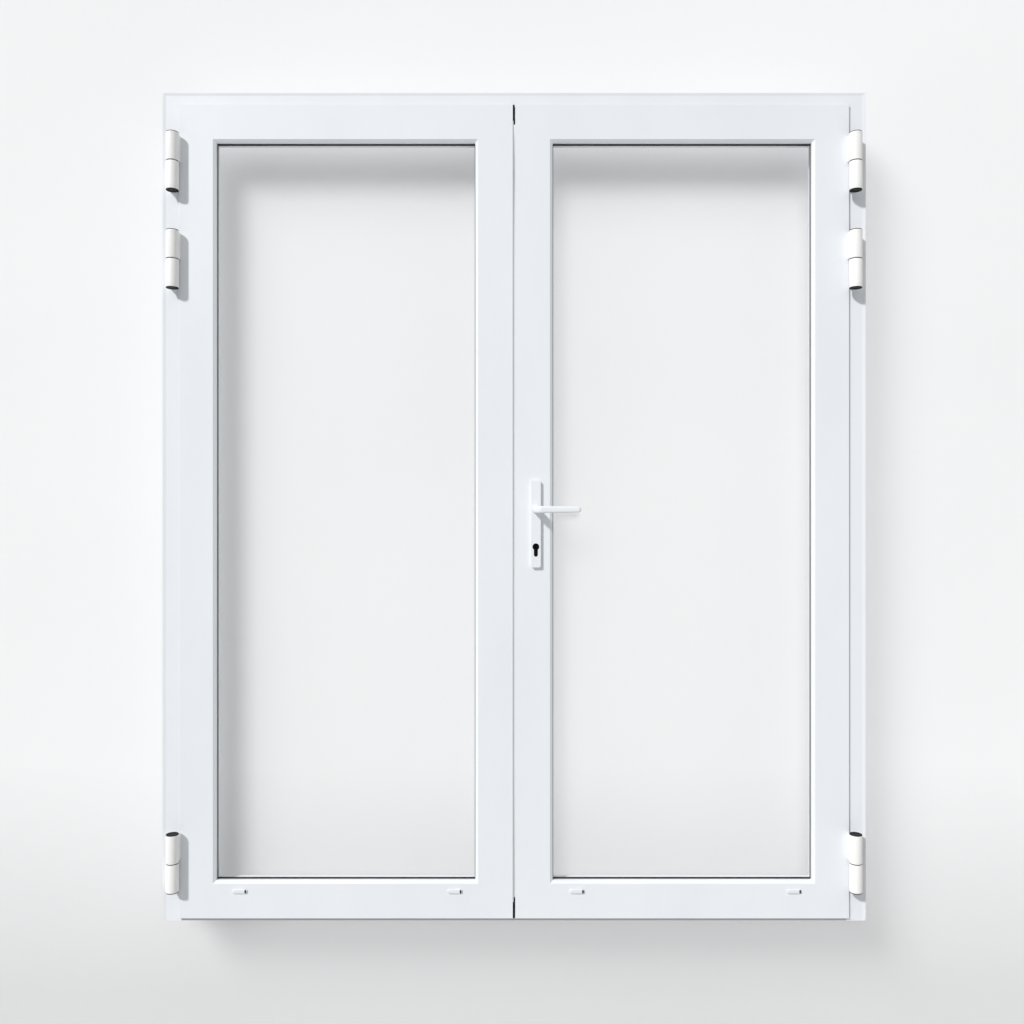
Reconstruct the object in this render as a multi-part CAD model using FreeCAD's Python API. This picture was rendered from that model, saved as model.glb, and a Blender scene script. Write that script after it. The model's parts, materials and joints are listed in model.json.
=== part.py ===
"""Two-leaf casement window, built as separately named pieces.

Millimetres.  X runs left to right seen from outside, Y runs from outside (-Y) to
inside (+Y), Z is up.  The origin is the bottom centre of the outer frame.
"""
import os
import FreeCAD
import Part

# overall sizes
FRAME_W = 1750.0
FRAME_H = 2060.0
FRAME_D = 60.0
WALL = 2.0

# outer frame section
JAMB_BOX = 48.0
HEAD_BOX = 38.0
STOP_T = 3.0
EDGE = 0.3
STOP_LAP = 20.0
SILL_T = 6.0
SILL_STOP = 34.0
LIP_H = 1.2
LIP_W = 9.0
FOOT_R = 6.0
ANCHOR_R = 5.25

# leaf section, u from the outer edge of the leaf, v is Y
LEAF_GAP = 6.0
OVERLAP = 6.0
LEAF_BOTTOM = 9.0
LEAF_PROUD = 8.0
STOP_GAP = 3.0
SEAL_GAP = 0.5
FLANGE_U = 10.0
FLANGE_T = 5.0
REBATE_U = 71.0
FLAT_U = 86.0
NOSE_U = 93.0
NOSE_DROP = 5.0
LEG_T = 14.0
SIDE_EDGE = (2.4, 4.0)

# glazing
GLASS_U = 76.0
PANE_T = 4.0
CAVITY = 16.0
GASKET_T = 3.0
GASKET_U = 94.8
BEAD_U = 84.0
SPACER_W = 6.0

# hinges
HINGE_OFF = 8.0
HINGE_OUT = 17.0
HINGE_LOW = 153.0
HINGE_DROPS = (420.5, 180.0)
HINGE_H = 140.0
BARREL_R = 15.5
PIN_R = 6.0
RUN_GAP = 0.05
RING_T = 2.0
RING_INSET = 0.6
BUSH_WALL = 1.95
CAP_INSET = 0.4
CAP_T = 1.8

# meeting profile on the left leaf
MEET_X = -0.5
MEET_SHORT = 14.0
MEET_CAP_H = 30.0

# lock and handle on the right leaf
BACKSET = 51.0
SPINDLE_Z = 1023.0
CYL_PITCH = 92.0
CYL_R = 8.5
CYL_SLOT = 10.0
CYL_TALL = 33.0
PLUG_R = 6.5
PLATE_W = 24.0
PLATE_Z = (880.0, 1095.0)
PLATE_T = 9.0
LEVER_LEN = 109.0
LEVER_H = 17.0
LEVER_OUT = 46.0
LEVER_T = 12.0
NECK_R = 9.0
SPINDLE_SQ = 8.0
CASE_Z = (870.0, 1110.0)
CASE_DEPTH = 54.5
CASE_HALF = 8.0
FACEPLATE_T = 2.5
LATCH_Z = 1048.0
BOLT_Z = 975.0

# flush bolts on the left leaf
ROD_Y = -20.0
ROD_R = 3.5
SLIDE_LOW = 180.0
SLIDE_DROP = 200.0

# drain hoods, from the outer and the meeting edge of each leaf
DRAIN_RISE = 3.0
SLOT_H = 4.0
LEFT_DRAIN_IN = (153.0, 144.0)
RIGHT_DRAIN_IN = (139.0, 153.0)

HALF_W = FRAME_W / 2
HALF_D = FRAME_D / 2
JAMB_IN = HALF_W - JAMB_BOX
HEAD_IN = FRAME_H - HEAD_BOX
JAMB_REACH = JAMB_BOX + STOP_LAP
HEAD_REACH = JAMB_REACH * HEAD_BOX / JAMB_BOX
LEAF_TOP = HEAD_IN + OVERLAP
LEAF = (-JAMB_IN - OVERLAP, -LEAF_GAP / 2, LEAF_BOTTOM, LEAF_TOP)
BODY_X = LEAF[1] - FLANGE_U
FACE_V = -HALF_D - LEAF_PROUD
BACK_V = HALF_D - STOP_T - STOP_GAP
NOSE_FRONT_V = FACE_V + NOSE_DROP
NOSE_BACK_V = FACE_V + LEG_T
GLASS_V = NOSE_BACK_V + GASKET_T
GLASS_BACK_V = GLASS_V + 2 * PANE_T + CAVITY
HINGE_X = -LEAF[0] + HINGE_OFF
HINGE_Y = FACE_V - HINGE_OUT
HINGE_Z = (HINGE_LOW, FRAME_H - HINGE_DROPS[0], FRAME_H - HINGE_DROPS[1])
BUSH_BORE_R = PIN_R + RUN_GAP
BUSH_R = BUSH_BORE_R + BUSH_WALL
CAP_R = BARREL_R - CAP_INSET
MEET_BACK_V = BACK_V - MEET_SHORT
ROD_X = (BODY_X + MEET_X) / 2
LOCK_X = -LEAF[1] + BACKSET
CYL_Z = SPINDLE_Z - CYL_PITCH
CASE_X = (-BODY_X + FACEPLATE_T, -BODY_X + FACEPLATE_T + CASE_DEPTH)
SLIDE_Z = (SLIDE_LOW, FRAME_H - SLIDE_DROP)
DRAIN_Z = LEAF_BOTTOM + REBATE_U - DRAIN_RISE
LEFT_DRAINS = (LEAF[0] + LEFT_DRAIN_IN[0], LEAF[1] - LEFT_DRAIN_IN[1])
RIGHT_DRAINS = (-LEAF[0] - RIGHT_DRAIN_IN[0], -LEAF[1] + RIGHT_DRAIN_IN[1])
ANCHOR_Z = (200.0, 750.0, FRAME_H - 760.0, FRAME_H - 210.0)
VEC = FreeCAD.Vector
AXES = {"x": VEC(1, 0, 0), "y": VEC(0, 1, 0), "z": VEC(0, 0, 1)}


def box(x0, x1, y0, y1, z0, z1):
    return Part.makeBox(x1 - x0, y1 - y0, z1 - z0, VEC(x0, y0, z0))


def rod(axis, at, radius, start, end):
    """Cylinder along an axis; `at` holds the two other coordinates in x, y, z order."""
    places = {"x": (start, at[0], at[1]), "y": (at[0], start, at[1]), "z": (at[0], at[1], start)}
    return Part.makeCylinder(radius, end - start, VEC(*places[axis]), AXES[axis])


def ring(axis, at, outer, inner, start, end):
    return rod(axis, at, outer, start, end).cut(rod(axis, at, inner, start, end))


def join(shapes):
    whole = shapes[0]
    for shape in shapes[1:]:
        whole = whole.fuse(shape)
    return whole.removeSplitter()


def drill(shape, tools):
    for tool in tools:
        shape = shape.cut(tool)
    return shape


def group(shapes):
    solids = []
    for shape in shapes:
        solids.extend(shape.Solids)
    return Part.makeCompound(solids)


def flip(shape):
    return shape.mirror(VEC(0, 0, 0), VEC(1, 0, 0))


def outline(points, place):
    wire = Part.makePolygon([VEC(*place(u, v)) for u, v in points + points[:1]])
    return Part.Face(wire)


def prism_xz(points):
    face = outline(points, lambda x, z: (x, -120, z))
    return face.extrude(VEC(0, 240, 0))


def bar(section, voids, side, rect):
    """Straight hollow bar along one side of a rectangle, before its ends are cut."""
    x0, x1, z0, z1 = rect
    places = {
        "left": lambda u, v: (x0 + u, v, z0),
        "right": lambda u, v: (x1 - u, v, z0),
        "bottom": lambda u, v: (x0, v, z0 + u),
        "top": lambda u, v: (x0, v, z1 - u),
    }
    along = VEC(0, 0, z1 - z0) if side in ("left", "right") else VEC(x1 - x0, 0, 0)
    shape = outline(section, places[side]).extrude(along)
    return drill(shape, [outline(hole, places[side]).extrude(along) for hole in voids])


def mitre(side, rect, reach):
    """Keeps the part of a bar that lies between its two 45 degree cuts."""
    x0, x1, z0, z1 = rect
    corners = {
        "left": [(x0, z0), (x0 + reach, z0 + reach), (x0 + reach, z1 - reach), (x0, z1)],
        "right": [(x1, z0), (x1 - reach, z0 + reach), (x1 - reach, z1 - reach), (x1, z1)],
        "bottom": [(x0, z0), (x0 + reach, z0 + reach), (x1 - reach, z0 + reach), (x1, z0)],
        "top": [(x0, z1), (x0 + reach, z1 - reach), (x1 - reach, z1 - reach), (x1, z1)],
    }
    return prism_xz(corners[side])


def inset(rect, u):
    return (rect[0] + u, rect[1] - u, rect[2] + u, rect[3] - u)


def strips(rect, u0, u1, v0, v1):
    """Four straight strips around a rectangle, butt jointed at the corners."""
    x0, x1, z0, z1 = inset(rect, u0)
    wide = u1 - u0
    return [
        box(x0, x0 + wide, v0, v1, z0, z1),
        box(x1 - wide, x1, v0, v1, z0, z1),
        box(x0 + wide, x1 - wide, v0, v1, z0, z0 + wide),
        box(x0 + wide, x1 - wide, v0, v1, z1 - wide, z1),
    ]


# ---------------------------------------------------------------- outer frame

def frame_section(deep, reach):
    share = deep / JAMB_BOX
    lip = [(0, -HALF_D - LIP_H), (1.5 * share, -HALF_D - LIP_H), (LIP_W * share, -HALF_D)]
    front = lip + [(deep - EDGE, -HALF_D), (deep, EDGE - HALF_D)]
    back = [(deep, HALF_D - STOP_T), (reach, HALF_D - STOP_T), (reach, HALF_D), (0, HALF_D)]
    inner = HALF_D - WALL
    hollow = [(WALL, -inner), (deep - WALL, -inner), (deep - WALL, inner), (WALL, inner)]
    return front + back, [hollow]


def frame_rect():
    return (-HALF_W, HALF_W, 0.0, FRAME_H)


def jamb_left():
    section, voids = frame_section(JAMB_BOX, JAMB_REACH)
    shape = bar(section, voids, "left", frame_rect())
    inner = -HALF_W + JAMB_REACH
    turn = [(-HALF_W + FOOT_R * a, FOOT_R * b) for a, b in ((0, 1), (0.134, 0.5), (0.5, 0.134), (1, 0))]
    keep = turn + [(inner, 0), (inner, FRAME_H - HEAD_REACH), (-HALF_W, FRAME_H)]
    shape = shape.common(prism_xz(keep))
    holes = [rod("x", (0, z), ANCHOR_R, -HALF_W - 1, -JAMB_IN + 1) for z in ANCHOR_Z]
    holes += [rod("x", (y, SILL_T / 2), 1.8, -JAMB_IN - 4, -JAMB_IN + 1) for y in (-12, 14)]
    return drill(shape, holes + frame_hinge_screws_left())


def head():
    section, voids = frame_section(HEAD_BOX, HEAD_REACH)
    shape = bar(section, voids, "top", frame_rect())
    low = FRAME_H - HEAD_REACH
    reach = HALF_W - JAMB_REACH
    keep = [(-HALF_W, FRAME_H), (-reach, low), (reach, low), (HALF_W, FRAME_H)]
    shape = shape.common(prism_xz(keep))
    holes = [rod("z", (x, 0), ANCHOR_R, HEAD_IN - 1, FRAME_H + 1) for x in (-400, 400)]
    return drill(shape, holes + [keep_blank(HEAD_IN - 1)])


def threshold():
    back = HALF_D - STOP_T
    base = box(-JAMB_IN, JAMB_IN, 2 - HALF_D, back, 0, SILL_T)
    end = HALF_W - JAMB_REACH
    shape = join([base, box(-end, end, back, HALF_D, 0, SILL_STOP)])
    return drill(shape, [rod("z", (ROD_X, ROD_Y), ROD_R + 3.5, -1, SILL_T + 1)] + threshold_screw_list())


def threshold_screw_list():
    screws = []
    for y in (-12, 14):
        shank = rod("x", (y, SILL_T / 2), 1.8, -JAMB_IN - WALL, -JAMB_IN + 30)
        top = rod("x", (y, SILL_T / 2), SILL_T / 2 - 0.2, -JAMB_IN - WALL - 3, -JAMB_IN - WALL)
        screws.append(join([shank, top]))
    return screws + [flip(screw) for screw in screws]


def frame_cleats():
    inner = JAMB_BOX - WALL * JAMB_BOX / HEAD_BOX - 0.1
    deep = HEAD_BOX - WALL - 0.6
    upright = box(-HALF_W + WALL, -HALF_W + inner, -10, 10, FRAME_H - 110, FRAME_H - WALL)
    across = box(-HALF_W + WALL, -HALF_W + 110, -10, 10, FRAME_H - deep, FRAME_H - WALL)
    left = join([upright, across])
    return group([left, flip(left)])


def frame_seal_list():
    front = BACK_V + SEAL_GAP
    back = HALF_D - STOP_T
    edge = JAMB_IN - 5
    side = box(-edge, -edge + 10, front, back, SILL_STOP + 4, HEAD_IN - 16)
    top = box(-edge, edge, front, back, HEAD_IN - 14, HEAD_IN - 6)
    return group([side, flip(side), top])


def threshold_seal():
    end = HALF_W - JAMB_REACH - 8
    low = LEAF_BOTTOM + FLANGE_U + 2
    return box(-end, end, BACK_V + SEAL_GAP, HALF_D - STOP_T, low, SILL_STOP - 2)


def keep_blank(low):
    """Plate let into the head, around the place where the top rod goes in."""
    wide = ROD_R + 2.5
    return box(ROD_X - 19, ROD_X + 19, ROD_Y - wide, ROD_Y + wide, low, HEAD_IN + WALL)


def head_keep():
    return keep_blank(HEAD_IN).cut(rod("z", (ROD_X, ROD_Y), ROD_R + 0.5, HEAD_IN - 1, HEAD_IN + 5))


def threshold_keep():
    return ring("z", (ROD_X, ROD_Y), ROD_R + 3.5, ROD_R + 0.5, 0, SILL_T)


# --------------------------------------------------------------------- hinges

def frame_knuckle(z):
    centre = (-HINGE_X, HINGE_Y)
    low = z - HINGE_H / 2
    high = z - RING_T / 2
    barrel = rod("z", centre, BARREL_R, low, high)
    foot = box(-HINGE_X - 15, LEAF[0] - 2, HINGE_Y, -HALF_D, low + 2, high - 2)
    shape = join([barrel, foot])
    return drill(shape, [rod("z", centre, PIN_R, low - 1, high + 1)] + knuckle_screws(z))


def knuckle_screws(z):
    return [rod("y", (-HINGE_X, z - off), 2.5, -HALF_D - 7, -HALF_D + 10) for off in (20, 58)]


def frame_hinge_screws_left():
    return [screw for z in HINGE_Z for screw in knuckle_screws(z)]


def sash_knuckle(z):
    centre = (-HINGE_X, HINGE_Y)
    low = z + RING_T / 2
    high = z + HINGE_H / 2
    barrel = rod("z", centre, BARREL_R, low, high)
    arm = box(-HINGE_X + 1, LEAF[0] + 7, HINGE_Y, FACE_V, low + 2, high - 2)
    shape = join([barrel, arm])
    return shape.cut(rod("z", centre, BUSH_R, low - 1, high + 1))


def pin(z):
    return rod("z", (-HINGE_X, HINGE_Y), PIN_R, z - HINGE_H / 2, z + HINGE_H / 2 - 8)


def bush(z):
    centre = (-HINGE_X, HINGE_Y)
    seat = z + RING_T / 2
    sleeve = ring("z", centre, BUSH_R, BUSH_BORE_R, seat, z + HINGE_H / 2 - 4)
    flange = ring("z", centre, BARREL_R - RING_INSET, BUSH_BORE_R, z - RING_T / 2 + 0.1, seat)
    return join([sleeve, flange])


def top_cap(z):
    centre = (-HINGE_X, HINGE_Y)
    end = z + HINGE_H / 2
    plug = rod("z", centre, BUSH_R, end - 4, end)
    return join([plug, rod("z", centre, CAP_R, end, end + CAP_T)])


def bottom_cap(z):
    end = z - HINGE_H / 2
    return rod("z", (-HINGE_X, HINGE_Y), CAP_R, end - CAP_T, end)


# ----------------------------------------------------------------------- leaf

def leaf_section(wide, deep):
    """Leaf profile whose outer front edge is cut off by `wide` along u and `deep` along v."""
    flange_v = FACE_V + FLANGE_T
    front = [(0, FACE_V + deep), (wide, FACE_V), (FLAT_U, FACE_V), (NOSE_U, NOSE_FRONT_V)]
    rebate = [(NOSE_U, NOSE_BACK_V), (REBATE_U, NOSE_BACK_V), (REBATE_U, BACK_V)]
    edge = [(FLANGE_U, BACK_V), (FLANGE_U, flange_v), (0, flange_v)]
    main = [
        (FLANGE_U + WALL, FACE_V + WALL),
        (REBATE_U - WALL, FACE_V + WALL),
        (REBATE_U - WALL, BACK_V - WALL),
        (FLANGE_U + WALL, BACK_V - WALL),
    ]
    leg = [
        (REBATE_U, FACE_V + WALL),
        (FLAT_U - 0.7, FACE_V + WALL),
        (NOSE_U - 2, NOSE_FRONT_V + 1.6),
        (NOSE_U - 2, NOSE_BACK_V - WALL),
        (REBATE_U, NOSE_BACK_V - WALL),
    ]
    return front + rebate + edge, [main, leg]


def leaf_bar(side):
    section, voids = leaf_section(*(SIDE_EDGE if side == "left" else (EDGE, EDGE)))
    return bar(section, voids, side, LEAF).common(mitre(side, LEAF, NOSE_U))


def leaf_cleats():
    arm = 100.0
    outer = inset(LEAF, FLANGE_U + WALL)
    inner = inset(LEAF, REBATE_U - WALL)
    x0, x1, z0, z1 = outer
    plate = box(x0, x1, -14, 2, z0, z1).cut(box(inner[0], inner[1], -15, 3, inner[2], inner[3]))
    plate = plate.cut(box(x0 + arm, x1 - arm, -15, 3, z0 - 1, z1 + 1))
    return plate.cut(box(x0 - 1, x1 + 1, -15, 3, z0 + arm, z1 - arm))


def panes():
    x0, x1, z0, z1 = inset(LEAF, GLASS_U)
    outer = box(x0, x1, GLASS_V, GLASS_V + PANE_T, z0, z1)
    inner = box(x0, x1, GLASS_BACK_V - PANE_T, GLASS_BACK_V, z0, z1)
    return group([outer, inner])


def spacer():
    front = GLASS_V + PANE_T
    return group(strips(LEAF, GLASS_U + 1, GLASS_U + 1 + SPACER_W, front, front + CAVITY))


def outer_gasket():
    return group(strips(LEAF, GLASS_U + 2, GASKET_U, NOSE_BACK_V, GLASS_V))


def inner_gasket():
    return group(strips(LEAF, GLASS_U + 2, BEAD_U + 2, GLASS_BACK_V, GLASS_BACK_V + GASKET_T))


def beads():
    front = GLASS_BACK_V + GASKET_T
    section = [
        (REBATE_U, front), (BEAD_U, front), (BEAD_U, BACK_V - 4),
        (BEAD_U - 4, BACK_V), (REBATE_U, BACK_V),
    ]
    hollow = [
        (REBATE_U + 1.5, front + 1.5), (BEAD_U - 1.5, front + 1.5), (BEAD_U - 1.5, BACK_V - 4.6),
        (BEAD_U - 4.6, BACK_V - 1.5), (REBATE_U + 1.5, BACK_V - 1.5),
    ]
    pieces = []
    for side in ("left", "right", "bottom", "top"):
        pieces.append(bar(section, [hollow], side, LEAF).common(mitre(side, LEAF, BEAD_U)))
    return group(pieces)


def setting_blocks():
    x0, x1, z0, z1 = inset(LEAF, REBATE_U)
    gap = GLASS_U - REBATE_U
    blocks = []
    for x in (x0 + 110, x1 - 210):
        blocks.append(box(x, x + 100, GLASS_V, GLASS_BACK_V, z0, z0 + gap))
        blocks.append(box(x, x + 100, GLASS_V, GLASS_BACK_V, z1 - gap, z1))
    for z in (z0 + 300, z1 - 400):
        blocks.append(box(x0, x0 + gap, GLASS_V, GLASS_BACK_V, z, z + 100))
        blocks.append(box(x1 - gap, x1, GLASS_V, GLASS_BACK_V, z, z + 100))
    return group(blocks)


def drain_slot(x, z):
    return box(x - 12, x + 12, FACE_V - 1, FACE_V + WALL, z - SLOT_H, z)


def drain_cover(x, z):
    front = FACE_V - 4
    body = box(x - 12.5, x + 12.5, front, FACE_V, z - 6, z + 6)
    ends = [rod("y", (x + off, z), 6, front, FACE_V) for off in (-12.5, 12.5)]
    shape = join([body] + ends)
    hollow = box(x - 12, x + 15, FACE_V - 2.5, FACE_V, z - 4, z + 4)
    mouth = box(x + 12.6, x + 16.4, front - 1, FACE_V, z - 3.6, z + 3.6)
    return drill(shape, [hollow, mouth])


# ------------------------------------------------------- left leaf meeting side

def meeting_profile():
    flange_v = FACE_V + FLANGE_T
    low = LEAF_BOTTOM + FLANGE_U - 2 + MEET_CAP_H
    high = LEAF_TOP - FLANGE_U + 2 - MEET_CAP_H
    shape = box(BODY_X, MEET_X, flange_v, MEET_BACK_V, low, high)
    hollow = box(BODY_X + WALL, MEET_X - WALL, flange_v + WALL, MEET_BACK_V - WALL, low - 1, high + 1)
    return drill(shape, [hollow, strike_blank()] + [slide_blank(z) for z in SLIDE_Z])


def meeting_caps():
    flange_v = FACE_V + FLANGE_T
    inner = LEAF_BOTTOM + FLANGE_U - 2
    bottom = join([
        box(BODY_X, MEET_X, flange_v, MEET_BACK_V, inner, inner + MEET_CAP_H),
        box(BODY_X, 1.5, flange_v, -10, inner, inner + MEET_CAP_H),
        box(LEAF[1], 1.5, flange_v - 3, flange_v, LEAF_BOTTOM, inner + MEET_CAP_H),
    ])
    bottom = bottom.cut(rod("z", (ROD_X, ROD_Y), ROD_R + 0.1, 0, 100))
    inner = LEAF_TOP - FLANGE_U + 2
    top = join([
        box(BODY_X, MEET_X, flange_v, MEET_BACK_V, inner - MEET_CAP_H, inner),
        box(BODY_X, 1.5, flange_v, -10, inner - MEET_CAP_H, inner),
        box(LEAF[1], 1.5, flange_v - 3, flange_v, inner - MEET_CAP_H, LEAF_TOP),
    ])
    top = top.cut(rod("z", (ROD_X, ROD_Y), ROD_R + 0.1, LEAF_TOP - 100, LEAF_TOP + 10))
    return group([bottom, top])


def strike_blank():
    return box(MEET_X - WALL, MEET_X, -10, MEET_BACK_V - WALL, BOLT_Z - 40, LATCH_Z + 40)


def strike():
    pocket = box(MEET_X - WALL - 1, MEET_X + 1, -6, 6, BOLT_Z - 14, BOLT_Z + 14)
    return strike_blank().cut(pocket)


def slide_blank(z):
    return box(MEET_X - WALL, MEET_X, ROD_Y - 9, ROD_Y + 9, z - 45, z + 45)


def slide_plate(z):
    slot = box(MEET_X - WALL - 1, MEET_X + 1, ROD_Y - 4.6, ROD_Y + 4.6, z - 26, z + 26)
    return slide_blank(z).cut(slot)


def flush_bolt(z, far):
    """Rod with a thumb slide; `far` is the height of the end that throws."""
    shaft = rod("z", (ROD_X, ROD_Y), ROD_R, min(z, far), max(z, far))
    away = -6 if far > z else 6
    thumb = box(ROD_X, MEET_X - 0.5, ROD_Y - 4.2, ROD_Y + 4.2, z + away - 12, z + away + 12)
    return join([shaft, thumb])


# ------------------------------------------------------------- lock and handle

def euro(grow, y0, y1):
    bottom = CYL_Z + CYL_R - CYL_TALL
    half = CYL_SLOT / 2 + grow
    tip = bottom + CYL_SLOT / 2
    return join([
        rod("y", (LOCK_X, CYL_Z), CYL_R + grow, y0, y1),
        box(LOCK_X - half, LOCK_X + half, y0, y1, tip, CYL_Z),
        rod("y", (LOCK_X, tip), half, y0, y1),
    ])


def cylinder_body():
    front = FACE_V - PLATE_T
    back = BACK_V + PLATE_T
    bore = rod("y", (LOCK_X, CYL_Z), PLUG_R + 0.05, front - 1, back + 1)
    room = box(LOCK_X - 15, LOCK_X + 15, -5.2, 5.2, CYL_Z - 16, CYL_Z + 15)
    return drill(euro(0, front + 1, back - 1), [bore, room])


def cylinder_plug():
    core = rod("y", (LOCK_X, CYL_Z), PLUG_R, FACE_V - PLATE_T + 1, BACK_V + PLATE_T - 1)
    cam = box(LOCK_X - 4, LOCK_X + 4, -4.5, 4.5, CYL_Z, CYL_Z + 13)
    shape = join([core, cam])
    front = FACE_V - PLATE_T
    back = BACK_V + PLATE_T
    keyways = [
        box(LOCK_X - 1, LOCK_X + 1, front, front + 20, CYL_Z - 4.5, CYL_Z + 4.5),
        box(LOCK_X - 1, LOCK_X + 1, back - 20, back, CYL_Z - 4.5, CYL_Z + 4.5),
    ]
    return drill(shape, keyways)


def handle_plate(y0, y1):
    mid = PLATE_W / 2
    z0, z1 = PLATE_Z
    shape = join([
        box(LOCK_X - mid, LOCK_X + mid, y0, y1, z0 + 4, z1 - 4),
        box(LOCK_X - mid + 4, LOCK_X + mid - 4, y0, y1, z0, z1),
        rod("y", (LOCK_X - mid + 4, z0 + 4), 4, y0, y1),
        rod("y", (LOCK_X + mid - 4, z0 + 4), 4, y0, y1),
        rod("y", (LOCK_X - mid + 4, z1 - 4), 4, y0, y1),
        rod("y", (LOCK_X + mid - 4, z1 - 4), 4, y0, y1),
    ])
    neck = rod("y", (LOCK_X, SPINDLE_Z), NECK_R + 0.1, y0 - 1, y1 + 1)
    return drill(shape, [neck, euro(0, y0 - 1, y1 + 1)] + handle_screw_list())


def handle_screw_list():
    screws = []
    for z in (PLATE_Z[0] + 12, PLATE_Z[1] - 12):
        screws.append(rod("y", (LOCK_X, z), 2.5, FACE_V - 6, -10))
        screws.append(rod("y", (LOCK_X, z), 2.5, 10, BACK_V + 6))
    return screws


def lever(front):
    """One lever: a round neck out of the plate and a flat bar pointing to +X."""
    sign = -1 if front else 1
    face = FACE_V if front else BACK_V
    tip = LOCK_X + LEVER_LEN
    near = LEVER_H / 2
    far = LEVER_H / 2 - 1.5
    y_in = face + sign * LEVER_OUT
    y_out = face + sign * (LEVER_OUT + LEVER_T)
    low = min(y_in, y_out)
    high = max(y_in, y_out)
    taper = [
        (LOCK_X, SPINDLE_Z - near), (tip - far, SPINDLE_Z - far),
        (tip - far, SPINDLE_Z + far), (LOCK_X, SPINDLE_Z + near),
    ]
    bar_shape = prism_xz(taper).common(box(0, 400, low, high, 900, 1200))
    ends = [
        rod("y", (LOCK_X, SPINDLE_Z), near, low, high),
        rod("y", (tip - far, SPINDLE_Z), far, low, high),
    ]
    root = face + sign * 0.5
    neck = rod("y", (LOCK_X, SPINDLE_Z), NECK_R, min(root, y_out), max(root, y_out))
    shape = join([bar_shape] + ends + [neck])
    square = spindle_square()
    return shape.cut(square)


def spindle_square():
    half = SPINDLE_SQ / 2
    y0 = FACE_V - LEVER_OUT + 6
    y1 = BACK_V + LEVER_OUT - 6
    return box(LOCK_X - half, LOCK_X + half, y0, y1, SPINDLE_Z - half, SPINDLE_Z + half)


def spindle():
    follower = rod("y", (LOCK_X, SPINDLE_Z), 11, -6, 6)
    hub = rod("y", (LOCK_X, SPINDLE_Z), 7, -CASE_HALF, CASE_HALF)
    return join([spindle_square(), follower, hub])


def lock_case():
    x0, x1 = CASE_X
    z0, z1 = CASE_Z
    shell = box(x0, x1, -CASE_HALF, CASE_HALF, z0, z1)
    hollow = box(x0 + 1.5, x1 - 1.5, -6.5, 6.5, z0 + 1.5, z1 - 1.5)
    hub = rod("y", (LOCK_X, SPINDLE_Z), 7.1, -CASE_HALF - 1, CASE_HALF + 1)
    mouths = [latch_mouth(x0 - 1, x0 + 2), bolt_mouth(x0 - 1, x0 + 2)]
    return drill(shell, [hollow, hub, euro(0, -CASE_HALF - 1, CASE_HALF + 1)] + mouths)


def latch_mouth(x0, x1):
    return box(x0, x1, -6.2, 6.2, LATCH_Z - 10.2, LATCH_Z + 10.2)


def bolt_mouth(x0, x1):
    return box(x0, x1, -5.2, 5.2, BOLT_Z - 12.2, BOLT_Z + 12.2)


def faceplate_blank():
    return box(-BODY_X, CASE_X[0], -11, 11, CASE_Z[0] - 15, CASE_Z[1] + 15)


def faceplate():
    mouths = [latch_mouth(-BODY_X - 1, CASE_X[0] + 1), bolt_mouth(-BODY_X - 1, CASE_X[0] + 1)]
    return drill(faceplate_blank(), mouths)


def latch():
    tail = box(-BODY_X - 2, 38, -6, 6, LATCH_Z - 10, LATCH_Z + 10)
    nose = [(4, 6), (-BODY_X - 2, -6), (-BODY_X - 2, 6)]
    wedge = outline(nose, lambda x, y: (x, y, LATCH_Z - 10)).extrude(VEC(0, 0, 20))
    return join([tail, wedge])


def deadbolt():
    return box(-BODY_X, 46, -5, 5, BOLT_Z - 12, BOLT_Z + 12)


def right_meeting_stile():
    spindle_hole = rod("y", (LOCK_X, SPINDLE_Z), NECK_R, FACE_V - 1, BACK_V + 1)
    cuts = [faceplate_blank(), spindle_hole, euro(0, FACE_V - 1, BACK_V + 1)]
    return drill(flip(leaf_bar("right")), cuts + handle_screw_list())


# --------------------------------------------------------------------- output

def leaf_pieces():
    """Pieces of the left leaf that the right leaf has as well, mirrored."""
    pieces = {
        "hinge_stile": leaf_bar("left"),
        "meeting_stile": leaf_bar("right"),
        "top_rail": leaf_bar("top"),
        "bottom_rail": leaf_bar("bottom"),
        "corner_cleats": leaf_cleats(),
        "glass_panes": panes(),
        "glass_spacer": spacer(),
        "outer_gasket": outer_gasket(),
        "inner_gasket": inner_gasket(),
        "glazing_beads": beads(),
        "setting_blocks": setting_blocks(),
        "sash_knuckles": group([sash_knuckle(z) for z in HINGE_Z]),
        "knuckle_bushes": group([bush(z) for z in HINGE_Z] + [top_cap(z) for z in HINGE_Z]),
    }
    return pieces


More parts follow.
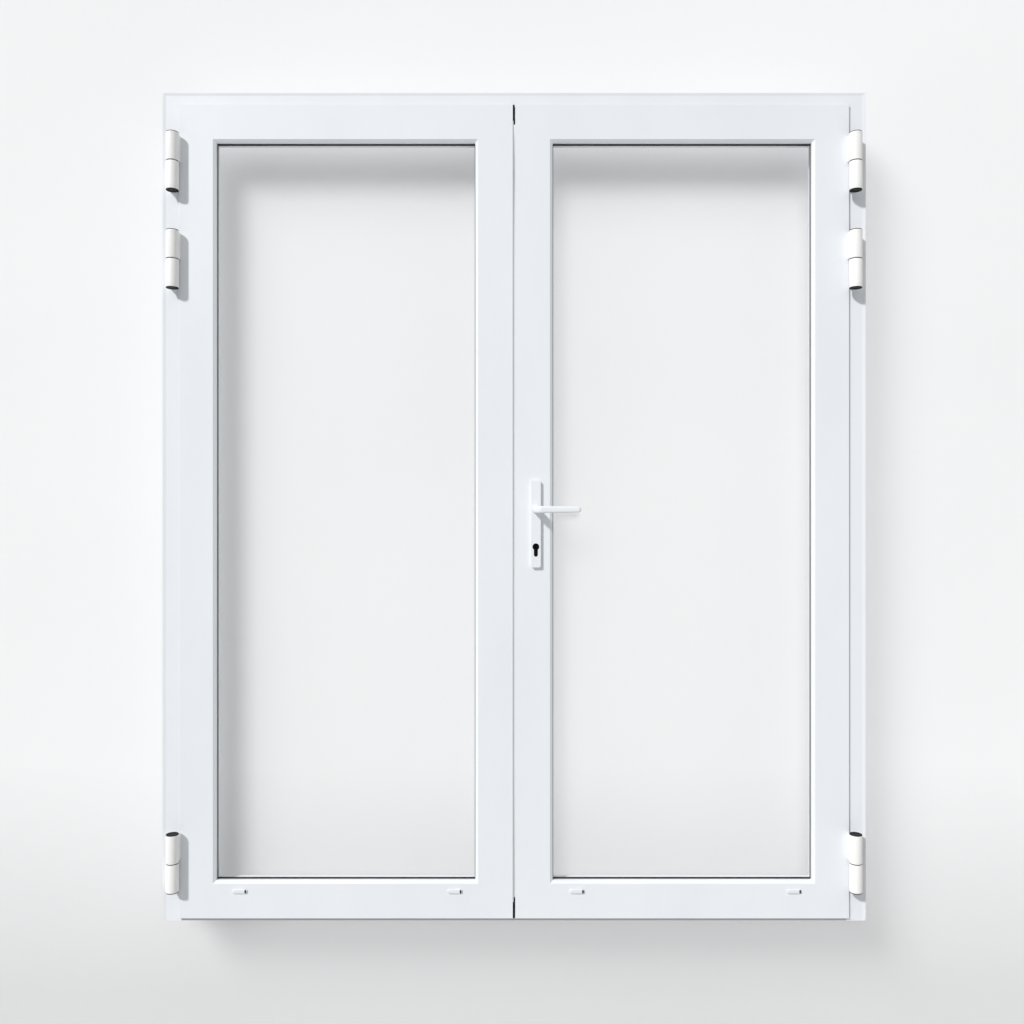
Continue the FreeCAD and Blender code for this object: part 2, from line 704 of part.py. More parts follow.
def all_pieces():
    pieces = {
        "frame_jamb_left": jamb_left(),
        "frame_jamb_right": flip(jamb_left()),
        "frame_head": head(),
        "threshold": threshold(),
        "threshold_screws": group(threshold_screw_list()),
        "frame_corner_cleats": frame_cleats(),
        "frame_seals": frame_seal_list(),
        "threshold_seal": threshold_seal(),
        "head_bolt_keep": head_keep(),
        "threshold_bolt_keep": threshold_keep(),
        "frame_knuckles_left": group([frame_knuckle(z) for z in HINGE_Z]),
        "frame_knuckles_right": group([flip(frame_knuckle(z)) for z in HINGE_Z]),
    }
    pins = [pin(z) for z in HINGE_Z]
    caps = [bottom_cap(z) for z in HINGE_Z]
    screws = frame_hinge_screws_left()
    pieces["hinge_pins"] = group(pins + [flip(shape) for shape in pins])
    pieces["frame_knuckle_caps"] = group(caps + [flip(shape) for shape in caps])
    pieces["frame_hinge_screws"] = group(screws + [flip(shape) for shape in screws])
    for name, shape in leaf_pieces().items():
        pieces["left_" + name] = shape
        pieces["right_" + name] = flip(shape)
    for x in LEFT_DRAINS:
        pieces["left_bottom_rail"] = pieces["left_bottom_rail"].cut(drain_slot(x, DRAIN_Z))
    for x in RIGHT_DRAINS:
        pieces["right_bottom_rail"] = pieces["right_bottom_rail"].cut(drain_slot(x, DRAIN_Z))
    pieces["right_meeting_stile"] = right_meeting_stile()
    pieces["left_drain_covers"] = group([drain_cover(x, DRAIN_Z) for x in LEFT_DRAINS])
    pieces["right_drain_covers"] = group([drain_cover(x, DRAIN_Z) for x in RIGHT_DRAINS])
    pieces["meeting_profile"] = meeting_profile()
    pieces["meeting_end_caps"] = meeting_caps()
    pieces["strike_plate"] = strike()
    pieces["flush_bolt_plates"] = group([slide_plate(z) for z in SLIDE_Z])
    pieces["flush_bolt_top"] = flush_bolt(SLIDE_Z[1], LEAF_TOP - 9)
    pieces["flush_bolt_bottom"] = flush_bolt(SLIDE_Z[0], LEAF_BOTTOM)
    pieces["lock_case"] = lock_case()
    pieces["lock_faceplate"] = faceplate()
    pieces["cylinder_body"] = cylinder_body()
    pieces["cylinder_plug"] = cylinder_plug()
    front = handle_plate(FACE_V - PLATE_T, FACE_V)
    back = handle_plate(BACK_V, BACK_V + PLATE_T)
    pieces["handle_plates"] = group([front, back])
    pieces["handle_screws"] = group(handle_screw_list())
    pieces["levers"] = group([lever(True), lever(False)])
    pieces["spindle"] = spindle()
    pieces["latch_bolt"] = latch()
    pieces["deadbolt"] = deadbolt()
    return pieces


def main():
    os.makedirs("parts", exist_ok=True)
    for name, shape in all_pieces().items():
        shape.exportStep("parts/" + name + ".step")


main()
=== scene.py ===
"""Two-leaf casement window: finishes, hardware surfaces, room and lights.

Metres in the row frame: X to the right seen from outside, -Y outside, Z up.
"""
import json
import math

import bmesh
import bpy
import numpy as np
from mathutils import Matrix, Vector


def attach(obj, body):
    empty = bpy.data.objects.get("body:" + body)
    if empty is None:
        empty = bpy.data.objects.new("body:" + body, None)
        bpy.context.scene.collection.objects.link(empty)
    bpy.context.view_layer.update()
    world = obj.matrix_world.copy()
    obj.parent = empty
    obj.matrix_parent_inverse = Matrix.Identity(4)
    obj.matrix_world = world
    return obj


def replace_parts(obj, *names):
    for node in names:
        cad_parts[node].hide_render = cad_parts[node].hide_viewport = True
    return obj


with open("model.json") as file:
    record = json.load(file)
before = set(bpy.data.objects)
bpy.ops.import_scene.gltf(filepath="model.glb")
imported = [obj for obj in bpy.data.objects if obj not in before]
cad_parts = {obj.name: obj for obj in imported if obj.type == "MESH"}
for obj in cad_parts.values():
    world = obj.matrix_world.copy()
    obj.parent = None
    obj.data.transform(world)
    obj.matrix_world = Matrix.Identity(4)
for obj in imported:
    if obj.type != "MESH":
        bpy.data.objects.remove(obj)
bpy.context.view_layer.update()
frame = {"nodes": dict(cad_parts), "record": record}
scene = bpy.context.scene
NODES = frame["nodes"]
MM = 0.001


# ------------------------------------------------------------------ materials

def srgb(code):
    """Linear colour of a hex code: each channel c goes to ((c + 0.055) / 1.055) ** 2.4."""
    channels = np.array([int(code[i:i + 2], 16) for i in (0, 2, 4)]) / 255
    low = channels / 12.92
    high = ((channels + 0.055) / 1.055) ** 2.4
    return (*np.where(channels <= 0.04045, low, high).tolist(), 1.0)


def add(mat, kind, settings=None, links=None):
    """Adds one node; settings name its properties or sockets, links name what feeds a socket."""
    node = mat.node_tree.nodes.new("ShaderNode" + kind)
    for key, value in (settings or {}).items():
        if isinstance(key, str) and hasattr(node, key):
            setattr(node, key, value)
        else:
            node.inputs[key].default_value = value
    for key, source in (links or {}).items():
        mat.node_tree.links.new(source, node.inputs[key])
    return node


def new_material(name, settings):
    """Makes a material with one main shader, and returns both."""
    mat = bpy.data.materials.new(name)
    mat.use_nodes = True
    mat.node_tree.nodes.clear()
    shader = add(mat, "BsdfPrincipled", settings)
    out = add(mat, "OutputMaterial", None, {"Surface": shader.outputs[0]})
    out.is_active_output = True
    return mat, shader


def feed(mat, source, node, socket):
    mat.node_tree.links.new(source, node.inputs[socket])


def ramp(mat, fac, stops):
    """Colour ramp; stops is a list of (place, hex code)."""
    node = add(mat, "ValToRGB", None, {"Fac": fac})
    elements = node.color_ramp.elements
    while len(elements) < len(stops):
        elements.new(0.5)
    for element, (place, code) in zip(elements, stops):
        element.position = place
        element.color = srgb(code)
    return node.outputs["Color"]


def noise(mat, size_mm, detail=2.0, stretch=(1, 1, 1)):
    """Noise whose cells are about size_mm across, longer along an axis by stretch."""
    place = add(mat, "TexCoord").outputs["Object"]
    scale = tuple(1 / s for s in stretch)
    mapped = add(mat, "Mapping", {"Scale": scale}, {"Vector": place})
    cells_per_metre = 1000 / size_mm
    settings = {"Scale": cells_per_metre, "Detail": detail}
    return add(mat, "TexNoise", settings, {"Vector": mapped.outputs[0]}).outputs["Fac"]


def spread(mat, fac, low, high):
    """Maps noise, which mostly stays between 0.3 and 0.7, onto low to high."""
    settings = {"From Min": 0.3, "From Max": 0.7, "To Min": low, "To Max": high}
    return add(mat, "MapRange", settings, {"Value": fac}).outputs["Result"]


def bump(mat, shader, height, depth_mm):
    """Raises the surface by up to depth_mm where height is 1."""
    settings = {"Distance": depth_mm * MM, "Strength": 1.0}
    node = add(mat, "Bump", settings, {"Height": height})
    feed(mat, node.outputs[0], shader, "Normal")


def coated(name, light, dark, roughness, grain_mm, depth_mm):
    """Powder coat baked on metal: an even colour, a fine orange peel and a soft sheen."""
    mat, shader = new_material(name, {"Specular IOR Level": 0.5, "IOR": 1.5})
    cloud = noise(mat, 180, 3, (1, 1, 2.5))
    feed(mat, ramp(mat, cloud, [(0.3, dark), (0.7, light)]), shader, "Base Color")
    sheen = spread(mat, noise(mat, 60, 3), roughness - 0.04, roughness + 0.05)
    feed(mat, sheen, shader, "Roughness")
    bump(mat, shader, noise(mat, grain_mm, 1.5), depth_mm)
    return mat


def moulded(name, light, dark, roughness, grain_mm, depth_mm, ior=1.5):
    """Moulded plastic or rubber: a spark-eroded mould leaves a fine even grain."""
    mat, shader = new_material(name, {"IOR": ior})
    colour = ramp(mat, noise(mat, 30, 3), [(0.35, dark), (0.65, light)])
    feed(mat, colour, shader, "Base Color")
    sheen = spread(mat, noise(mat, 8, 2), roughness - 0.05, roughness + 0.06)
    feed(mat, sheen, shader, "Roughness")
    bump(mat, shader, noise(mat, grain_mm, 2), depth_mm)
    return mat


def brushed(name, light, dark, roughness, stretch):
    """Brushed or drawn metal: scratches 0.5 mm wide, longer along an axis by stretch."""
    mat, shader = new_material(name, {"Metallic": 1.0})
    lines = noise(mat, 0.5, 3, stretch)
    colour = ramp(mat, noise(mat, 40, 3, stretch), [(0.3, dark), (0.7, light)])
    feed(mat, colour, shader, "Base Color")
    feed(mat, spread(mat, lines, roughness - 0.07, roughness + 0.1), shader, "Roughness")
    bump(mat, shader, lines, 0.01)
    return mat


# polyester powder coat on extruded aluminium: cool white, orange peel about 3 mm across
POWDER = coated("white_powder_coat", "EDF0F3", "E9ECF0", 0.48, 3.0, 0.012)
# the cast hinge bodies are sprayed separately, a touch warmer and glossier
HINGE = coated("white_sprayed_zinc_casting", "F8F7F5", "F5F4F1", 0.4, 2.2, 0.012)
# extruded EPDM seal: soft black with a dull bloom
EPDM = moulded("black_epdm_rubber", "1B1B1C", "111112", 0.62, 0.9, 0.02)
# glass-filled nylon for hinge caps, bushes and end caps
NYLON = moulded("black_nylon", "0C0C0D", "070708", 0.6, 0.7, 0.015, 1.3)
# injection moulded ASA drain hoods, coloured to the frame
ASA = moulded("white_asa_moulding", "EBEEF1", "E7EAED", 0.42, 0.8, 0.01)
# polypropylene packers under the glass
PACKER = moulded("grey_polypropylene", "4A4C50", "3C3E42", 0.5, 1.0, 0.02)
# mill-finish extruded aluminium: fine die lines along the bar
MILL = brushed("extruded_aluminium", "C9CACC", "BDBEC1", 0.38, (60, 1, 1))
# glazing spacer bar, rolled aluminium
SPACER = brushed("rolled_aluminium_spacer", "A9AAAC", "9C9DA0", 0.45, (1, 1, 60))
# 304 stainless, satin brushed along its height
STAINLESS = brushed("brushed_stainless_steel", "B9B8B6", "A9A8A6", 0.3, (1, 1, 60))
# zinc plated steel, blue passivated
ZINC = brushed("zinc_plated_steel", "B6BAC2", "A2A6AE", 0.34, (1, 1, 8))
# black nickel over brass: a dark, slightly warm metal
NICKEL = brushed("black_nickel_plate", "2A2928", "1C1B1B", 0.36, (1, 8, 1))


def float_glass():
    """Clear soda-lime float glass: passes nearly all light, mirrors a little at grazing angles.

    A pane is flat and thin, so light goes straight on: a mirror laid over a clear shader by
    Fresnel's share, with a faint smear in the mirror's roughness from wiping.
    """
    mat = bpy.data.materials.new("clear_float_glass")
    mat.use_nodes = True
    mat.node_tree.nodes.clear()
    clear = add(mat, "BsdfTransparent", {"Color": srgb("FFFFFF")})
    mirror = add(mat, "BsdfGlossy", {"Color": srgb("FFFFFF")})
    smear = spread(mat, noise(mat, 220, 4, (1, 1, 2)), 0.0, 0.03)
    feed(mat, smear, mirror, "Roughness")
    # a low index: four faces of 1.52 glass would veil the wall behind with the sky's image
    share = add(mat, "Fresnel", {"IOR": 1.06})
    layers = {0: share.outputs[0], 1: clear.outputs[0], 2: mirror.outputs[0]}
    mix = add(mat, "MixShader", None, layers)
    add(mat, "OutputMaterial", None, {"Surface": mix.outputs[0]})
    return mat


GLASS = float_glass()

FINISHES = {
    "powder_white": POWDER,
    "hinge_white": HINGE,
    "black_rubber": EPDM,
    "black_nylon": NYLON,
    "cover_plastic": ASA,
    "block_plastic": PACKER,
    "mill_aluminium": MILL,
    "spacer_aluminium": SPACER,
    "stainless_steel": STAINLESS,
    "zinc_steel": ZINC,
    "black_nickel": NICKEL,
    "clear_glass": GLASS,
}
for entry in frame["record"]["subparts"]:
    mesh = NODES[entry["node"]].data
    mesh.materials.clear()
    mesh.materials.append(FINISHES[entry["material_slot"]])


# ------------------------------------------------------------- surface making

def new_piece(name, verts, faces, mat, body, slot, smooth=True):
    """Makes a mesh at the origin from an (n, 3) array in metres and rides it on a body."""
    mesh = bpy.data.meshes.new(name)
    mesh.from_pydata(np.asarray(verts, float).tolist(), [], [list(f) for f in faces])
    mesh.validate()
    mesh.materials.append(mat)
    mesh.shade_smooth() if smooth else mesh.shade_flat()
    obj = bpy.data.objects.new(name, mesh)
    scene.collection.objects.link(obj)
    if body:
        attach(obj, body)
    return obj


def grid_faces(rows, cols, first=0):
    """Quads of a rows by cols grid whose columns close on themselves, plus both end caps."""
    i, j = np.meshgrid(np.arange(rows - 1), np.arange(cols), indexing="ij")
    k = (j + 1) % cols
    quads = np.stack([i * cols + j, i * cols + k, (i + 1) * cols + k, (i + 1) * cols + j], -1)
    faces = (quads.reshape(-1, 4) + first).tolist()
    faces.append([first + c for c in range(cols - 1, -1, -1)])
    faces.append([first + (rows - 1) * cols + c for c in range(cols)])
    return faces


def lathe(profile, centre, sides=64):
    """Turns (radius, height) pairs about Z: x = cx + r cos t, y = cy + r sin t, z = h."""
    r, h = np.array(profile, float).T
    t = np.linspace(0, 2 * math.pi, sides, endpoint=False)
    x = centre[0] + r[:, None] * np.cos(t)
    y = centre[1] + r[:, None] * np.sin(t)
    z = np.repeat(h[:, None], sides, 1)
    return np.stack([x, y, z], -1).reshape(-1, 3) * MM, grid_faces(len(r), sides)


def rounded(width, height, radius, steps=8):
    """Outline of a rounded rectangle about the origin, counterclockwise: four quarter circles."""
    t = np.linspace(0, math.pi / 2, steps)
    corners = []
    for turn, (sx, sy) in enumerate([(1, 1), (-1, 1), (-1, -1), (1, -1)]):
        angle = t + turn * math.pi / 2
        cx = sx * (width / 2 - radius)
        cy = sy * (height / 2 - radius)
        corners.append(np.stack([cx + radius * np.cos(angle), cy + radius * np.sin(angle)], -1))
    return np.concatenate(corners)


def tube(profile, centre, sides=64):
    """Turns a closed loop of (radius, height) pairs about Z, so that it closes both ways."""
    verts, _ = lathe(profile, centre, sides)
    rows = len(profile)
    i, j = np.meshgrid(np.arange(rows), np.arange(sides), indexing="ij")
    n = (i + 1) % rows
    k = (j + 1) % sides
    quads = np.stack([i * sides + j, i * sides + k, n * sides + k, n * sides + j], -1)
    return verts, quads.reshape(-1, 4).tolist()


def slab(loop, levels, place):
    """Stacks copies of a loop: level (shrink, height) moves each point inwards by shrink.

    `place` turns (a, b, height) arrays into x, y, z arrays.
    """
    away = loop - loop.mean(0)
    reach = np.abs(away).max(0)
    verts = []
    for shrink, height in levels:
        scale = (reach - shrink) / reach
        flat = loop.mean(0) + away * scale
        verts.append(np.stack(place(flat[:, 0], flat[:, 1], np.full(len(loop), height)), -1))
    return np.concatenate(verts) * MM, grid_faces(len(levels), len(loop))


def merge(parts):
    """Joins (verts, faces) pairs into one pair."""
    verts = []
    faces = []
    count = 0
    for v, f in parts:
        verts.append(v)
        faces.extend([[c + count for c in face] for face in f])
        count += len(v)
    return np.concatenate(verts), faces


def as_drawn(pair):
    """The left-hand piece, which is the one the numbers below describe."""
    return pair


def mirrored(pair):
    """The same piece on the other side of X = 0, with its faces turned back outwards."""
    verts, faces = pair
    return verts * np.array([-1, 1, 1]), [list(reversed(face)) for face in faces]


SIDES = (("left", as_drawn), ("right", mirrored))


def around(rect, profile):
    """Carries a closed (u, y) profile round a rectangle with mitred corners.

    A point at inset u of the rectangle (x0, x1, z0, z1) meets the corners at
    (x0 + u, z0 + u), (x1 - u, z0 + u), (x1 - u, z1 - u) and (x0 + u, z1 - u).
    """
    x0, x1, z0, z1 = rect
    u, y = np.array(profile, float).T
    corners = [(x0 + u, z0 + u), (x1 - u, z0 + u), (x1 - u, z1 - u), (x0 + u, z1 - u)]
    verts = np.concatenate([np.stack([x, y, z], -1) for x, z in corners]) * MM
    n = len(u)
    i, j = np.meshgrid(np.arange(4), np.arange(n), indexing="ij")
    a = (i + 1) % 4
    b = (j + 1) % n
    quads = np.stack([i * n + j, i * n + b, a * n + b, a * n + j], -1)
    return verts, quads.reshape(-1, 4).tolist()


def outward(obj):
    """Turns every face of a closed piece outwards."""
    work = bmesh.new()
    work.from_mesh(obj.data)
    bmesh.ops.recalc_face_normals(work, faces=work.faces)
    work.to_mesh(obj.data)
    work.free()
    return obj


SHARP = math.radians(35)
WELD_MM = 0.01


def soften(obj, width_mm, segments=2):
    """Rounds the edges sharper than SHARP, as on a tumbled casting or a moulding."""
    weld = obj.modifiers.new("weld", "WELD")
    weld.merge_threshold = WELD_MM * MM
    bevel = obj.modifiers.new("edge", "BEVEL")
    bevel.width = width_mm * MM
    bevel.segments = segments
    bevel.limit_method = "ANGLE"
    bevel.angle_limit = SHARP
    bevel.harden_normals = True
    return obj


# --------------------------------------------------------------------- hinges

PIN_AXIS = (-841.0, -55.0)
HINGE_Z = (153.0, 1639.5, 1880.0)
BARREL_R = 15.5
BARREL_END = 70.0  # from a hinge's middle to the end of its barrel
HALF_RING = 1.0  # half the gap that the bush's ring fills
LINE = 64.0  # from the middle to the turned line
PIN_BORE = 6.1
BUSH_BORE = 8.0
FOOT_END = 68.0
FOOT_START = 3.0
FRAME_FOOT = (-856, -835, -62, -30)  # from x, to x, from y, to y
LEAF_FOOT = (-840, -826, -55, -38)


def barrel(low, high, bore, line):
    """Knuckle body: a 31 mm barrel with 1 mm rounded rims and a turned line 0.8 mm wide."""
    t = np.linspace(0, math.pi / 2, 5)
    r = BARREL_R
    low_rim = np.stack([r - 1 + np.sin(t), low + 1 - np.cos(t)], -1)
    high_rim = np.stack([r - 1 + np.cos(t), high - 1 + np.sin(t)], -1)
    groove = [(r, line - 0.4), (r - 0.5, line - 0.3), (r - 0.5, line + 0.3), (r, line + 0.4)]
    rims = low_rim.tolist() + groove + high_rim.tolist()
    return tube([(bore, low), *rims, (bore, high)], PIN_AXIS)


def foot(x0, x1, y0, y1, z0, z1):
    """Leg that carries a barrel: a rounded rectangle drawn along Y with 1 mm edges."""
    loop = rounded(x1 - x0, z1 - z0, 2.0, 6)
    levels = [(0.0, y1), (0.0, y0 + 1.0), (0.3, y0 + 0.3), (1.0, y0)]
    xc = (x0 + x1) / 2
    zc = (z0 + z1) / 2
    return slab(loop, levels, lambda a, b, h: (xc + a, h, zc + b))


# sections as (radius, height): the disc of a cap, its plug and the bush
CAP_DISC = [
    (14.9, 0), (15.1, 0.2), (15.1, 1.2), (14.8, 1.65), (14.2, 1.8), (12.1, 1.8),
    (11.5, 1.5), (0.4, 1.45),
]
CAP_PLUG = [(0.4, -4), (8.0, -4), (8.0, 0)]
BUSH = [
    (6.05, -0.9), (14.6, -0.9), (14.9, -0.6), (14.9, 0.8), (14.7, 1), (8, 1),
    (8, 66), (6.05, 66),
]


def top_cap(z):
    """Moulded end cap: a 16 mm plug and a 30.2 mm disc with a rolled rim and a dish."""
    return lathe([(r, z + h) for r, h in CAP_PLUG + CAP_DISC], PIN_AXIS, 48)


def bottom_cap(z):
    """The same disc under the lower knuckle, with no plug because the pin fills the bore."""
    return lathe([(r, z - h) for r, h in [(0.4, 0)] + CAP_DISC], PIN_AXIS, 48)


def bush(z):
    """Nylon bush: a sleeve in the upper knuckle and the dark ring between the knuckles."""
    return tube([(r, z + h) for r, h in BUSH], PIN_AXIS, 48)


def hinges():
    """Three hinges a side: knuckles on the frame below, knuckles on the leaf above."""
    lower = []
    upper = []
    low_caps = []
    inserts = []
    for z in HINGE_Z:
        lower.append(barrel(z - BARREL_END, z - HALF_RING, PIN_BORE, z - LINE))
        lower.append(foot(*FRAME_FOOT, z - FOOT_END, z - FOOT_START))
        upper.append(barrel(z + HALF_RING, z + BARREL_END, BUSH_BORE, z + LINE))
        upper.append(foot(*LEAF_FOOT, z + FOOT_START, z + FOOT_END))
        low_caps.append(bottom_cap(z - BARREL_END))
        inserts.extend([bush(z), top_cap(z + BARREL_END)])
    for side, turn in SIDES:
        body = side + "_leaf"
        made = new_piece(side + "_lower_hinge", *turn(merge(lower)), HINGE, "frame", "hinge_white")
        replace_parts(outward(soften(made, 0.4)), "frame_knuckles_" + side)
        made = new_piece(side + "_upper_hinge", *turn(merge(upper)), HINGE, body, "hinge_white")
        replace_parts(outward(soften(made, 0.4)), side + "_sash_knuckles")
        pair = turn(merge(inserts))
        made = new_piece(side + "_hinge_bushes_and_caps", *pair, NYLON, body, "black_nylon")
        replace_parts(outward(made), side + "_knuckle_bushes")
    both = merge(low_caps + [mirrored(pair) for pair in low_caps])
    made = new_piece("lower_hinge_caps", *both, NYLON, "frame", "black_nylon")
    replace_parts(outward(made), "frame_knuckle_caps")


hinges()


# --------------------------------------------------------------------- levers

OUTER_FACE = -38.0
INNER_FACE = 24.0
LOCK_X = 54.0
SPINDLE_Z = 1023.0
STAND_OFF = 52.0  # from the leaf's face to the middle of the bar
REACH = 109.0  # from the spindle to the tip
BEND_R = 14.0
TIP = 7.0


def ease(x):
    """Smooth step: 3x^2 - 2x^3 between 0 and 1."""
    x = np.clip(x, 0, 1)
    return x * x * (3 - 2 * x)


def lever(root, face, sign):
    """Lever handle: a section carried along a neck, a 14 mm bend and a bar.

    The section is a superellipse |a / A|^n + |b / B|^n = 1.  It starts as the round neck
    (A = B = 9, n = 2) and becomes a flat bar (A from 8.5 to 7, B from 6 to 5.4, n = 3.4).
    The last 7 mm close by A and B times sqrt(1 - t^2).
    """
    straight = abs(face + sign * STAND_OFF - root) - BEND_R
    arc = BEND_R * math.pi / 2
    bar = REACH - BEND_R
    s = np.unique(np.concatenate([
        np.linspace(0, straight, 10),
        straight + np.linspace(0, arc, 20),
        straight + arc + np.linspace(0, bar - TIP, 28),
        straight + arc + bar - TIP + TIP * np.sin(np.linspace(0, math.pi / 2 * 0.995, 14)),
    ]))
    angle = np.clip((s - straight) / BEND_R, 0, math.pi / 2)
    x = LOCK_X + BEND_R * (1 - np.cos(angle)) + np.clip(s - straight - arc, 0, None)
    y = root + sign * (np.clip(s, 0, straight) + BEND_R * np.sin(angle))
    along = np.clip((s - straight - arc) / bar, 0, 1)
    change = ease((s - straight * 0.5) / (straight * 0.5 + arc))
    close = np.sqrt(np.clip(1 - np.clip((s - s[-1] + TIP) / TIP, 0, 1) ** 2, 0.0008, 1))
    high = (9 - change * 0.5 - along * 1.5) * close
    deep = (9 - change * 3.0 - along * 0.6) * close
    power = 2 + change * 1.4
    t = np.linspace(0, 2 * math.pi, 48, endpoint=False)
    c = np.cos(t)[None, :]
    n = np.sin(t)[None, :]
    a = np.sign(c) * np.abs(c) ** (2 / power[:, None]) * high[:, None]
    b = np.sign(n) * np.abs(n) ** (2 / power[:, None]) * deep[:, None]
    side_x = np.cos(angle)[:, None]
    side_y = -sign * np.sin(angle)[:, None]
    verts = np.stack([x[:, None] + b * side_x, y[:, None] + b * side_y, SPINDLE_Z + a], -1)
    return verts.reshape(-1, 3) * MM, grid_faces(len(s), len(t))


def levers():
    """Both handles on one spindle; each neck starts 1 mm off the leaf, inside its plate."""
    front = lever(OUTER_FACE - 1, OUTER_FACE, -1)
    back = lever(INNER_FACE + 1, INNER_FACE, 1)
    made = new_piece("lever_handles", *merge([front, back]), POWDER, "lever_set", "powder_white")
    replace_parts(outward(made), "levers")


levers()
soften(NODES["handle_plates"], 0.9, 3)
soften(NODES["cylinder_body"], 0.25)
soften(NODES["cylinder_plug"], 0.2)
soften(NODES["latch_bolt"], 0.5)
soften(NODES["deadbolt"], 0.4)
soften(NODES["lock_faceplate"], 0.3)


# -------------------------------------------------------------- glazing seals

LEAF = (-833.0, -3.0, 9.0, 2028.0)
# sections as (inset from the leaf's edge, y), with a rounded lip on the glass
OUTER_SEAL = [
    (78, -21), (78, -24), (92.9, -24), (93.2, -24.6), (93.8, -24.9), (94.4, -24.6),
    (94.8, -23.8), (94.9, -22.4), (94.7, -21.4), (94.3, -21),
]
INNER_SEAL = [
    (78, 3), (85.2, 3), (85.7, 3.4), (85.9, 4.4), (85.6, 5.4), (85.0, 6.1), (84.4, 6.3),
    (84.05, 6.1), (84.0, 6), (78, 6),
]


def seals():
    """One seal round each face of each glass unit."""
    for side, turn in SIDES:
        body = side + "_leaf"
        for name, profile in (("outer", OUTER_SEAL), ("inner", INNER_SEAL)):
            pair = turn(around(LEAF, profile))
            label = side + "_" + name + "_glazing_seal"
            made = new_piece(label, *pair, EPDM, body, "black_rubber", smooth=False)
            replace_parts(outward(made), side + "_" + name + "_gasket")


seals()


# ---------------------------------------------------------------- drain hoods

DRAIN_Z = 77.0
DRAIN_X = {"left": (-680.0, -147.0), "right": (156.0, 694.0)}
# (shrink, y): the hood's rolled edge
HOOD_EDGE = [(0, -38.0), (0, -39.8), (0.25, -40.8), (0.9, -41.6), (2.0, -42.0), (4.6, -42.0)]
# (share of the full size, y): a dished black disc of painted shade where the hood's outlet opens,
# and its middle and half sizes along X and Z
SHADE_DISC_EDGE = [(1.0, -41.9), (1.0, -42.3), (0.9, -42.35), (0.8, -42.2), (0.05, -42.2)]
SHADE_DISC_X = 14.6
SHADE_DISC_HALF = (2.1, 4.4)


def hood(x):
    """Drain hood: a 37 by 12 mm stadium that rises 4 mm with a rolled edge."""
    loop = rounded(37, 12, 5.99, 12)
    return slab(loop, HOOD_EDGE, lambda a, b, h: (x + a, h, DRAIN_Z + b))


def painted_shade_disc(x):
    """Painted shade at a hood's outlet: a black dished oval, 4.2 by 8.8 mm, just proud of the
    hood, where the opening lies in shade.
    """
    t = np.linspace(0, 2 * math.pi, 32, endpoint=False)
    verts = []
    for share, y in SHADE_DISC_EDGE:
        across = x + SHADE_DISC_X + SHADE_DISC_HALF[0] * share * np.cos(t)
        up = DRAIN_Z + SHADE_DISC_HALF[1] * share * np.sin(t)
        verts.append(np.stack([across, np.full(len(t), y), up], -1))
    return np.concatenate(verts) * MM, grid_faces(len(SHADE_DISC_EDGE), len(t))


def drains():
    """Two hoods on each bottom rail."""
    for side, xs in DRAIN_X.items():
        body = side + "_leaf"
        pair = merge([hood(x) for x in xs])
        made = new_piece(side + "_drain_hoods", *pair, ASA, body, "cover_plastic")
        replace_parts(outward(made), side + "_drain_covers")
        # black discs of painted shade, standing in for the shade inside each hood's outlet
        pair = merge([painted_shade_disc(x) for x in xs])
        outward(new_piece(side + "_drain_painted_shade_discs", *pair, NYLON, body, "black_nylon"))


drains()


# --------------------------------------------------------- room, light, camera

def plaster(name, light, dark):
    """Matt paint on smooth plaster: a faint roller stipple, and painted shade that makes it a
    fifth darker low down.
    """
    mat, shader = new_material(name, {"Roughness": 0.9, "IOR": 1.45})
    cloud = ramp(mat, noise(mat, 900, 2), [(0.3, dark), (0.7, light)])
    place = add(mat, "SeparateXYZ", None, {0: add(mat, "TexCoord").outputs["Object"]})
    # painted shade: the colour falls to four fifths of itself from 0.35 m down to -0.25 m,
    # standing in for less light low on the wall
    heights = {"From Min": -0.25, "From Max": 0.35, "To Min": 0.8}
    rise = add(mat, "MapRange", heights, {"Value": place.outputs["Z"]})
    painted_low_shade = add(mat, "VectorMath", {"operation": "SCALE"}, {0: cloud, "Scale": rise.outputs[0]})
    feed(mat, painted_low_shade.outputs[0], shader, "Base Color")
    bump(mat, shader, noise(mat, 6, 2), 0.04)
    return mat


def one_sided(mat):
    """Lets rays from behind pass, so that the wall doesn't hide the inside of the window."""
    out = next(n for n in mat.node_tree.nodes if n.bl_idname == "ShaderNodeOutputMaterial")
    shader = out.inputs["Surface"].links[0].from_node
    side = add(mat, "NewGeometry").outputs["Backfacing"]
    clear = add(mat, "BsdfTransparent")
    mix = add(mat, "MixShader", None, {0: side, 1: shader.outputs[0], 2: clear.outputs[0]})
    mat.node_tree.links.new(mix.outputs[0], out.inputs["Surface"])
    return mat


WALL_Y = 0.105
WALL_TOP = 6.0
FLOOR_Z = -0.62
HALF_ROOM = 7.0


def backdrop(name, corners, mat):
    """A single face behind or below the window, which isn't part of it."""
    obj = new_piece(name, corners, [[0, 1, 2, 3]], mat, None, None, smooth=False)
    return obj


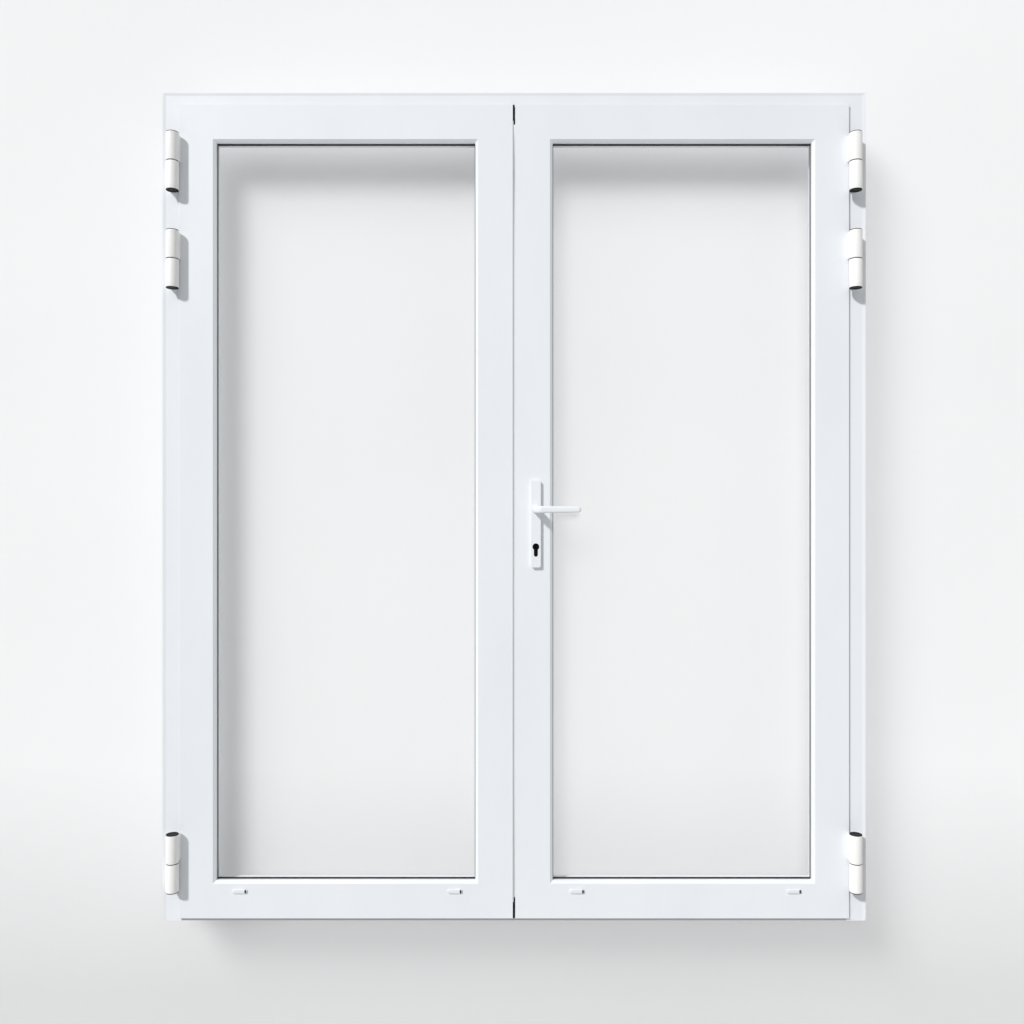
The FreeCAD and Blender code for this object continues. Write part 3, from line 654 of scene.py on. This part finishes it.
wall = backdrop(
    "wall",
    [
        (-HALF_ROOM, WALL_Y, FLOOR_Z), (HALF_ROOM, WALL_Y, FLOOR_Z),
        (HALF_ROOM, WALL_Y, WALL_TOP), (-HALF_ROOM, WALL_Y, WALL_TOP),
    ],
    one_sided(plaster("matt_painted_plaster", "F0F0F0", "EDEDED")),
)
floor = backdrop(
    "floor",
    [
        (-HALF_ROOM, -HALF_ROOM, FLOOR_Z), (HALF_ROOM, -HALF_ROOM, FLOOR_Z),
        (HALF_ROOM, HALF_ROOM, FLOOR_Z), (-HALF_ROOM, HALF_ROOM, FLOOR_Z),
    ],
    plaster("matt_screed", "CFCFCF", "CACACA"),
)


def group(name, objects):
    made = bpy.data.collections.new(name)
    for obj in objects:
        made.objects.link(obj)
    return made


AIM = Vector((0, 0, 1.0))


def sun(name, energy, place, degrees, receivers, blockers=None, shadow=True):
    """A sun this many degrees wide, aimed from place at the middle of the window.

    It lights only the receivers, and only the blockers throw a shadow in it, if given.
    """
    light = bpy.data.lights.new(name, "SUN")
    light.energy = energy
    light.angle = math.radians(degrees)
    light.use_shadow = shadow
    obj = bpy.data.objects.new(name, light)
    obj.location = place
    obj.rotation_euler = (AIM - Vector(place)).to_track_quat("-Z", "Y").to_euler()
    scene.collection.objects.link(obj)
    obj.light_linking.receiver_collection = group(name + "_lit", receivers)
    if blockers:
        obj.light_linking.blocker_collection = group(name + "_stop", blockers)


# the window has a narrow sun of its own; the wall has wide ones, for soft shadows, of which
# the strongest is stopped by the outer frame alone, so that the leaves throw faint shadows
stage = [wall, floor]
things = [obj for obj in scene.objects if obj.type == "MESH" and obj not in stage]
outer = [obj for obj in things if obj.name.startswith(("frame_", "threshold"))]
sun("key", 2.42, (-3.3, -4.0, 4.6), 5, things)
sun("wall_key", 0.82, (-1.0, -4.0, 3.0), 24, stage)
sun("wall_wash", 1.38, (-4.0, -4.0, 6.2), 24, stage, outer)
sun("wall_fill", 0.3, (0.0, -4.0, 2.0), 0.526, stage, shadow=False)

world = bpy.data.worlds.new("studio")
world.use_nodes = True
background = world.node_tree.nodes["Background"]
background.inputs["Color"].default_value = (0.97, 0.985, 1.0, 1.0)
background.inputs["Strength"].default_value = 0.5
scene.world = world

camera = bpy.data.cameras.new("camera")
camera.lens = 31.64
camera.sensor_width = 36.0
camera.clip_start = 0.05
camera.clip_end = 50.0
eye = bpy.data.objects.new("camera", camera)
eye.location = (-0.005, -2.27, 1.017)
eye.rotation_euler = (math.pi / 2, 0, 0)
scene.collection.objects.link(eye)
scene.camera = eye
scene.view_settings.view_transform = "Standard"
